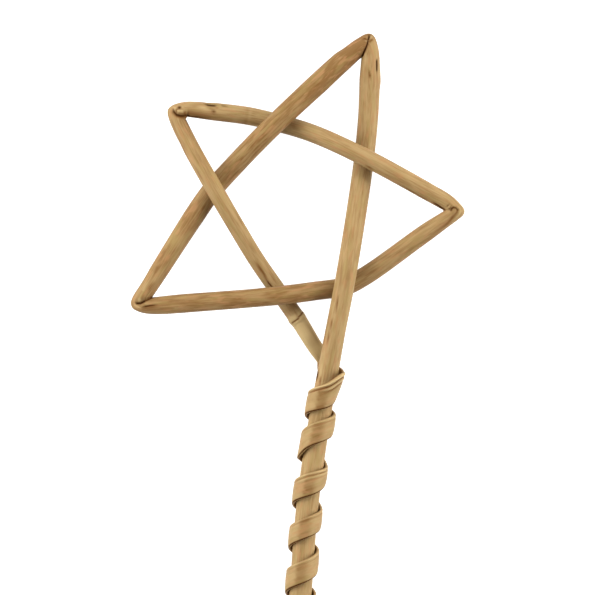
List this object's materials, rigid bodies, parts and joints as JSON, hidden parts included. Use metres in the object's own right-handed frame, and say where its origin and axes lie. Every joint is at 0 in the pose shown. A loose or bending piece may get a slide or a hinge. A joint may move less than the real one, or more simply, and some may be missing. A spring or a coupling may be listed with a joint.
{
  "type": "woven bamboo star pick",
  "caption": "Woven five-pointed star on a long stem, bent from one peeled cane whose flattened end winds down the stem as an open spiral.",
  "frame": {"origin": "on the ground under the middle of the whole, which lies on its back", "axes": "+Z out of the star's face, +Y towards its upright point, -Y along the stem to its foot"},
  "size_m": [0.1506, 0.5004, 0.0179],
  "materials": {
    "bamboo": "peeled and dried bamboo cane, satin, with fine lengthwise grain"
  },
  "bodies": {
    "root": {"star_cane": "bamboo"}
  },
  "joints": []
}
